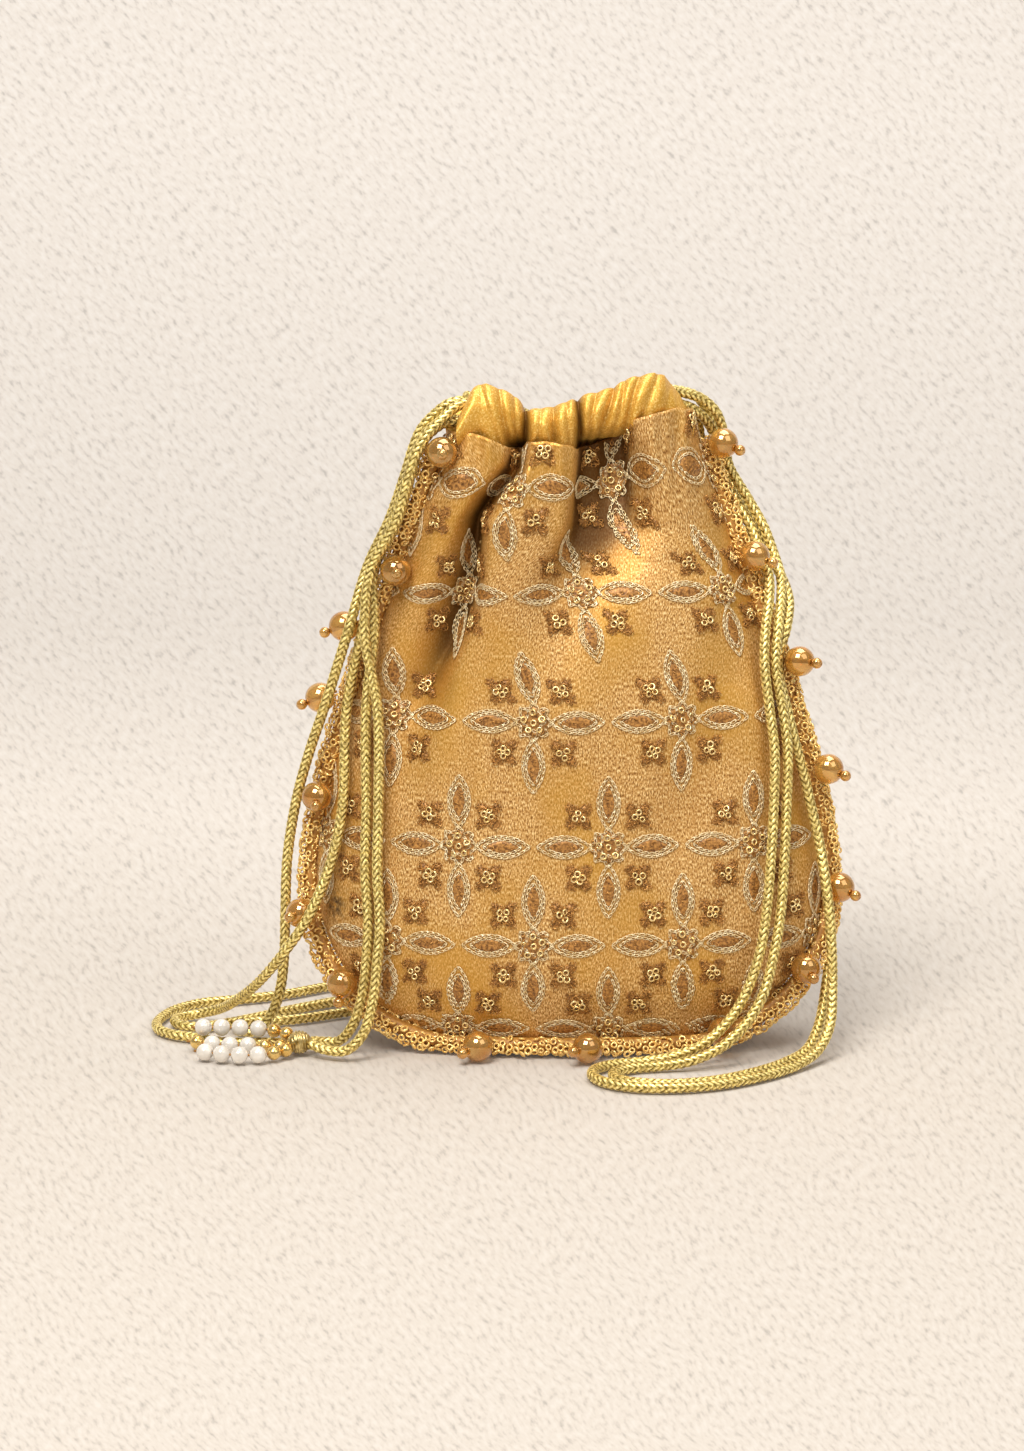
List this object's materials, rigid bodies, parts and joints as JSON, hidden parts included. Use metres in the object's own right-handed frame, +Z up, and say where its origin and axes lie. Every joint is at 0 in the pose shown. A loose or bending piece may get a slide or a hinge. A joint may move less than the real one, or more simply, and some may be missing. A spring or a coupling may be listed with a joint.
{
  "type": "drawstring potli bag",
  "caption": "Gathered drawstring pouch of gold tissue cloth with chain-stitch embroidery, beaded seam edging, looped metallic drawcords and a bead tassel.",
  "frame": {"origin": "middle of the flat base on the floor", "axes": "+Z up, -Y to the front of the bag, +X to the right seen from the front"},
  "size_m": [0.2232, 0.1371, 0.209],
  "materials": {
    "tissue": "tan-gold metallic tissue cloth with slub weave and a soft sheen",
    "lining": "plain thin gold lining cloth",
    "casing": "bright gold satin-like tissue, tightly gathered",
    "cord": "braided olive-gold metallic cord",
    "seed_beads": "amber-gold seed beads sewn close together",
    "edge_bead": "champagne translucent glass-like bead with a small tip bead",
    "pearl": "white imitation pearl, soft lustre",
    "gold_bead": "shiny gold-coated bead"
  },
  "bodies": {
    "root": {"front_panel": "tissue", "back_panel": "tissue", "lining_bag": "lining", "casing_front": "casing", "casing_back": "casing", "left_cord_run_lower": "cord", "right_cord_run_lower": "cord", "left_cord_run_upper": "cord", "right_cord_run_upper": "cord", "beaded_edging": "seed_beads", "edge_bead_01": "edge_bead", "edge_bead_02": "edge_bead", "edge_bead_03": "edge_bead", "edge_bead_04": "edge_bead", "edge_bead_05": "edge_bead", "edge_bead_06": "edge_bead", "edge_bead_07": "edge_bead", "edge_bead_08": "edge_bead", "edge_bead_09": "edge_bead", "edge_bead_10": "edge_bead", "edge_bead_11": "edge_bead", "edge_bead_12": "edge_bead", "edge_bead_13": "edge_bead", "edge_bead_14": "edge_bead", "edge_bead_15": "edge_bead", "edge_bead_16": "edge_bead", "left_cord_loop": "cord", "left_cord_end_1": "cord", "left_cord_end_2": "cord", "left_cord_tail": "cord", "right_cord_loop_outer": "cord", "right_cord_loop_inner": "cord", "tassel_knob": "gold_bead", "tassel_gold_bead_01": "gold_bead", "tassel_gold_bead_02": "gold_bead", "tassel_gold_bead_03": "gold_bead", "tassel_gold_bead_04": "gold_bead", "tassel_gold_bead_05": "gold_bead", "tassel_gold_bead_06": "gold_bead", "tassel_gold_bead_07": "gold_bead", "tassel_pearl_01": "pearl", "tassel_pearl_02": "pearl", "tassel_pearl_03": "pearl", "tassel_pearl_04": "pearl", "tassel_pearl_05": "pearl", "tassel_pearl_06": "pearl", "tassel_pearl_07": "pearl", "tassel_pearl_08": "pearl", "tassel_pearl_09": "pearl", "tassel_pearl_10": "pearl", "tassel_pearl_11": "pearl"}
  },
  "joints": []
}
